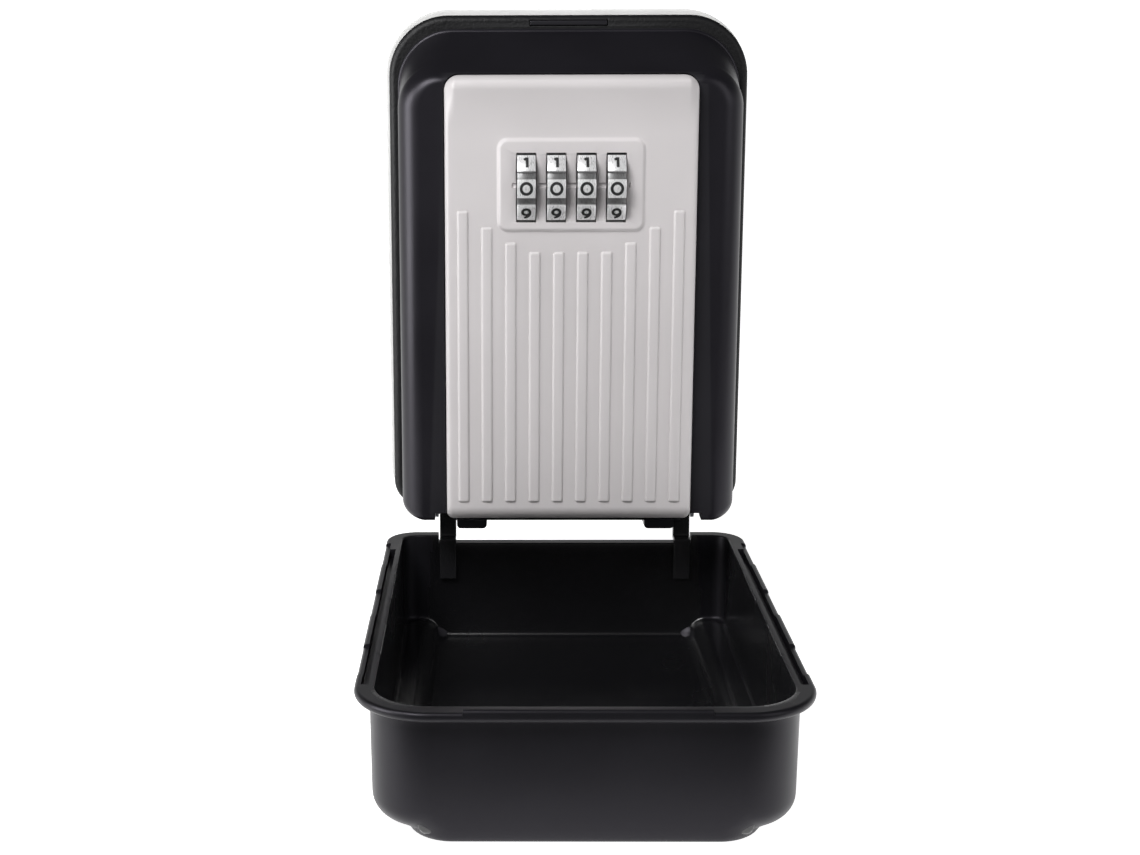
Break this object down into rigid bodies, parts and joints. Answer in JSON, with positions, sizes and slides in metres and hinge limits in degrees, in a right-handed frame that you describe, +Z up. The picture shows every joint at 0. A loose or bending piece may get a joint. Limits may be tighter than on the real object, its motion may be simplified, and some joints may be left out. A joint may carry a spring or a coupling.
{
  "type": "key lock box",
  "caption": "Wall-mounted key lock box: textured base, door with number dials and a ribbed grey panel, and a deep flip-down weather cover.",
  "frame": {"origin": "centre of the face that lies against the wall", "axes": "+X to the right as seen from the front, +Y into the wall, +Z up"},
  "size_m": [0.088, 0.1324, 0.1553],
  "materials": {
    "textured_black": "fine leathery texture, matt",
    "satin_black": "smooth satin",
    "pale_gasket": "soft closed-cell foam",
    "warm_grey": "smooth satin paint",
    "chrome_dial": "bright plating with black engraved digits",
    "zinc_steel": "zinc plated",
    "spring_steel": "drawn wire",
    "cover_black": "satin moulded plastic, glossier inside"
  },
  "bodies": {
    "base": {"base_housing": "textured_black", "wall_gasket": "pale_gasket", "cover_catch": "satin_black", "strike_plate": "zinc_steel", "strike_screw_left": "zinc_steel", "strike_screw_right": "zinc_steel", "hinge_pin_left": "zinc_steel", "hinge_pin_right": "zinc_steel"},
    "door": {"door_shell": "satin_black", "front_panel": "warm_grey", "lock_chassis": "zinc_steel", "detent_spring": "spring_steel", "mechanism_cover": "zinc_steel", "dial_axle": "spring_steel", "latch_spring_left": "spring_steel", "latch_spring_right": "spring_steel", "chassis_screw_1": "zinc_steel", "chassis_screw_2": "zinc_steel", "chassis_screw_3": "zinc_steel", "chassis_screw_4": "zinc_steel", "plate_screw_1": "zinc_steel", "plate_screw_2": "zinc_steel", "plate_screw_3": "zinc_steel", "plate_screw_4": "zinc_steel", "panel_screw_1": "zinc_steel", "panel_screw_2": "zinc_steel", "panel_screw_3": "zinc_steel", "panel_screw_4": "zinc_steel"},
    "latch": {"latch_bolt": "zinc_steel"},
    "reset": {"reset_lever": "zinc_steel"},
    "cover": {"cover_shell": "cover_black", "cover_strap_left": "cover_black", "cover_strap_right": "cover_black"},
    "dial_1": {"dial_wheel_1": "chrome_dial", "dial_cam_1": "zinc_steel"},
    "dial_2": {"dial_wheel_2": "chrome_dial", "dial_cam_2": "zinc_steel"},
    "dial_3": {"dial_wheel_3": "chrome_dial", "dial_cam_3": "zinc_steel"},
    "dial_4": {"dial_wheel_4": "chrome_dial", "dial_cam_4": "zinc_steel"}
  },
  "joints": [
    {"name": "door_hinge", "type": "hinge", "parent": "base", "child": "door", "pos_m": [0, -0.0109, -0.0617], "axis": [1, 0, 0], "range_deg": [0, 90]},
    {"name": "cover_hinge", "type": "hinge", "parent": "base", "child": "cover", "pos_m": [0, -0.0109, -0.0617], "axis": [1, 0, 0], "range_deg": [-90, 0]},
    {"name": "dial_1_spin", "type": "hinge", "parent": "door", "child": "dial_1", "pos_m": [-0.01013, -0.03145, 0.0206], "axis": [1, 0, 0], "continuous": true},
    {"name": "dial_2_spin", "type": "hinge", "parent": "door", "child": "dial_2", "pos_m": [-0.00337, -0.03145, 0.0206], "axis": [1, 0, 0], "continuous": true},
    {"name": "dial_3_spin", "type": "hinge", "parent": "door", "child": "dial_3", "pos_m": [0.00337, -0.03145, 0.0206], "axis": [1, 0, 0], "continuous": true},
    {"name": "dial_4_spin", "type": "hinge", "parent": "door", "child": "dial_4", "pos_m": [0.01013, -0.03145, 0.0206], "axis": [1, 0, 0], "continuous": true},
    {"name": "latch_slide", "type": "slide", "parent": "door", "child": "latch", "axis": [0, 0, 1], "range_m": [0, 0.003], "deforming": ["latch_spring_left", "latch_spring_right"]},
    {"name": "reset_slide", "type": "slide", "parent": "door", "child": "reset", "axis": [1, 0, 0], "range_m": [-0.003, 0]}
  ]
}
